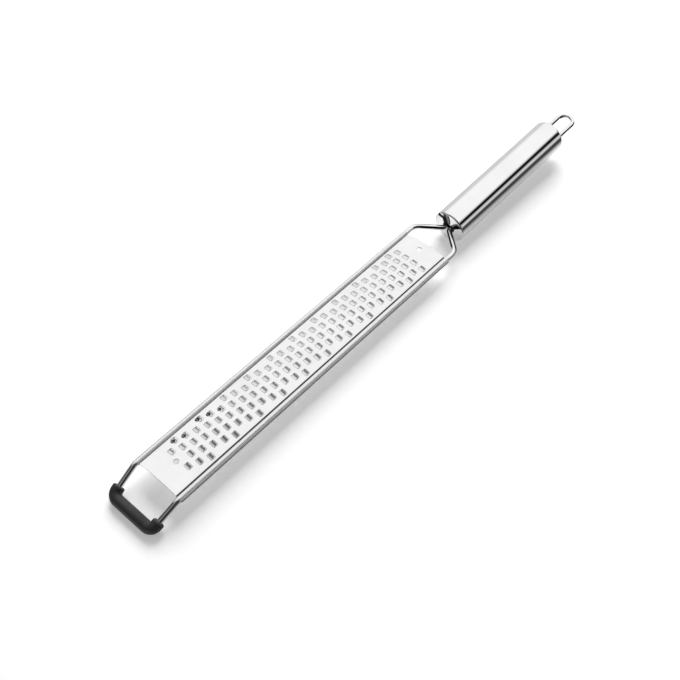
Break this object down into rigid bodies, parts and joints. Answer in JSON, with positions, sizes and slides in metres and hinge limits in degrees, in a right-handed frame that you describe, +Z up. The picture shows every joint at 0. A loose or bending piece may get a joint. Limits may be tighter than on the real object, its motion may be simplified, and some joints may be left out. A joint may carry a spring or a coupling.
{
  "type": "rasp zester",
  "caption": "Long hand rasp: an arched, toothed steel plate rolled onto a bent-wire frame, with a rubber foot and a tubular handle with a hanging loop.",
  "frame": {"origin": "centre of the bounding box's base, on the table that the foot and the handle's front rim rest on", "axes": "+X from the rubber foot to the hanging loop, +Y across the plate, +Z up from the table, with the teeth on top"},
  "size_m": [0.3992, 0.0376, 0.0259],
  "materials": {
    "plate_steel": "satin",
    "polished_steel": "polished",
    "foot_rubber": "matte"
  },
  "bodies": {
    "root": {"rasp_plate": "plate_steel", "wire_frame": "polished_steel", "foot_sleeve": "foot_rubber", "handle_tube": "polished_steel", "front_cap": "polished_steel", "rear_cap": "polished_steel", "hanging_loop": "polished_steel"}
  },
  "joints": []
}
